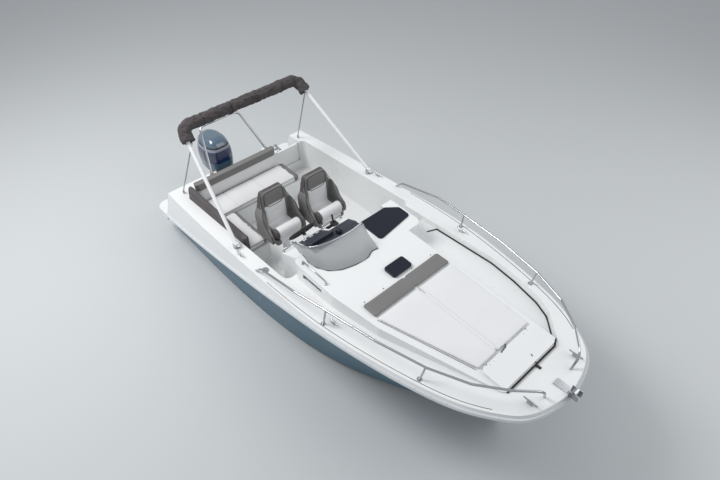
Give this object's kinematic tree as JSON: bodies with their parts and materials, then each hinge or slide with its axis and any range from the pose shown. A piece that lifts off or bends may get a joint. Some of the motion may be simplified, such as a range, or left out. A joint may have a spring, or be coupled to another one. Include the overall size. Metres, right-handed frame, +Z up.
{
  "type": "speedboat",
  "caption": "Open sports boat with a small cuddy cabin, L-shaped aft seats, folded sun top, bow rails and a tilting outboard engine",
  "frame": {"origin": "On the waterline amidships, on the centre plane of the hull", "axes": "+X forward to the bow, +Y to port, +Z up"},
  "size_m": [6.6954, 2.5326, 2.8612],
  "materials": {
    "hull": "glossy blue gelcoat",
    "gelcoat": "glossy white gelcoat",
    "rub_rail": "light grey rubber strake",
    "grey_vinyl": "grey vinyl cover",
    "white_vinyl": "white vinyl cover",
    "dash": "dark blue-grey moulding",
    "tinted_screen": "light grey tinted acrylic",
    "dark_hatch": "dark tinted acrylic",
    "stainless": "polished stainless tube",
    "white_tube": "white coated tube",
    "boot": "dark canvas boot",
    "engine_bracket": "dark grey cast bracket",
    "engine_leg": "blue-grey painted leg",
    "cowl": "navy gloss cowl",
    "engine_mass": "plain powerhead mass",
    "propeller": "dark painted blades",
    "wheel": "dark wheel rim"
  },
  "bodies": {
    "boat": {"hull": "hull", "cockpit_liner": "gelcoat", "coachroof": "gelcoat", "foredeck": "gelcoat", "rub_rail": "rub_rail", "swim_platforms": "gelcoat", "bench_base": "gelcoat", "bench_cushion": "grey_vinyl", "side_cushion": "grey_vinyl", "bench_backrest": "white_vinyl", "side_backrest": "white_vinyl", "console": "gelcoat", "instrument_hood": "dash", "windscreen": "tinted_screen", "windscreen_rail": "stainless", "seat_posts": "stainless", "helm_seats": "white_vinyl", "throttle": "dash", "bow_rails": "stainless", "deck_fittings": "stainless", "bimini_mounts": "stainless", "tow_hoop": "stainless", "engine_bracket": "engine_bracket", "ladder_bracket": "stainless", "gate_hinge": "stainless", "roof_hatch_frame": "dash", "pad_band": "grey_vinyl", "sun_pads": "white_vinyl", "bow_roller": "stainless", "side_window": "dark_hatch"},
    "bimini": {"bimini_frame": "white_tube", "bimini_roll": "boot"},
    "struts": {"bimini_struts": "stainless"},
    "engine_mount": {"engine_swivel": "engine_bracket"},
    "engine": {"engine_leg": "engine_leg", "engine_cowl": "cowl", "engine_block": "engine_mass"},
    "propeller_body": {"propeller": "propeller"},
    "wheel": {"steering_wheel": "wheel"},
    "starboard_bolster": {"bolster_starboard": "grey_vinyl"},
    "port_bolster": {"bolster_port": "grey_vinyl"},
    "gate": {"transom_gate": "gelcoat"},
    "ladder": {"swim_ladder": "stainless"},
    "hatch": {"roof_hatch_lid": "dark_hatch"},
    "cover": {"entry_cover": "dark_hatch"},
    "locker": {"locker_lid": "gelcoat"}
  },
  "joints": [
    {"name": "bimini_fold", "type": "hinge", "parent": "boat", "child": "bimini", "pos_m": [-0.94, 0, 1.05], "axis": [0, 1, 0], "range_deg": [0, 85]},
    {"name": "strut_fold", "type": "hinge", "parent": "bimini", "child": "struts", "pos_m": [-2.011, 0, 1.883], "axis": [0, 1, 0], "range_deg": [-76, 0]},
    {"name": "engine_tilt", "type": "hinge", "parent": "boat", "child": "engine_mount", "pos_m": [-2.88, 0, 0.42], "axis": [0, 1, 0], "range_deg": [0, 65]},
    {"name": "engine_steer", "type": "hinge", "parent": "engine_mount", "child": "engine", "pos_m": [-2.965, 0, 0], "axis": [0, 0, 1], "range_deg": [-30, 30]},
    {"name": "propeller_spin", "type": "hinge", "parent": "engine", "child": "propeller_body", "pos_m": [-3.39, 0, -0.6], "axis": [1, 0, 0], "continuous": true},
    {"name": "steering_wheel_turn", "type": "hinge", "parent": "boat", "child": "wheel", "pos_m": [-0.455, -0.45, 1.19], "axis": [0.8192, 0, -0.5736], "range_deg": [-540, 540]},
    {"name": "starboard_bolster_flip", "type": "hinge", "parent": "boat", "child": "starboard_bolster", "pos_m": [-0.7973, -0.475, 1.056], "axis": [0, -1, 0], "range_deg": [0, 90]},
    {"name": "port_bolster_flip", "type": "hinge", "parent": "boat", "child": "port_bolster", "pos_m": [-0.6873, 0.11, 1.056], "axis": [0, -1, 0], "range_deg": [0, 90]},
    {"name": "gate_swing", "type": "hinge", "parent": "boat", "child": "gate", "pos_m": [-2.35, 0.924, 0.7], "axis": [0, 0, 1], "range_deg": [0, 90]},
    {"name": "ladder_swing", "type": "hinge", "parent": "boat", "child": "ladder", "pos_m": [-3.068, 0.83, 0.4453], "axis": [0, -1, 0], "range_deg": [0, 265]},
    {"name": "roof_hatch_open", "type": "hinge", "parent": "boat", "child": "hatch", "pos_m": [0.893, -0.09, 1.2905], "axis": [0, 1, 0], "range_deg": [0, 80]},
    {"name": "entry_cover_slide", "type": "slide", "parent": "boat", "child": "cover", "axis": [0.9995, 0, -0.0323], "range_m": [0, 0.33]},
    {"name": "locker_lid_open", "type": "hinge", "parent": "boat", "child": "locker", "pos_m": [2.268, -0.03, 1.23906], "axis": [0, -1, 0], "range_deg": [0, 90]}
  ],
  "couplings": [
    {"joint": "strut_fold", "follows": "bimini_fold", "ratio": -0.885},
    {"joint": "steering_wheel_turn", "follows": "engine_steer", "ratio": 18}
  ]
}
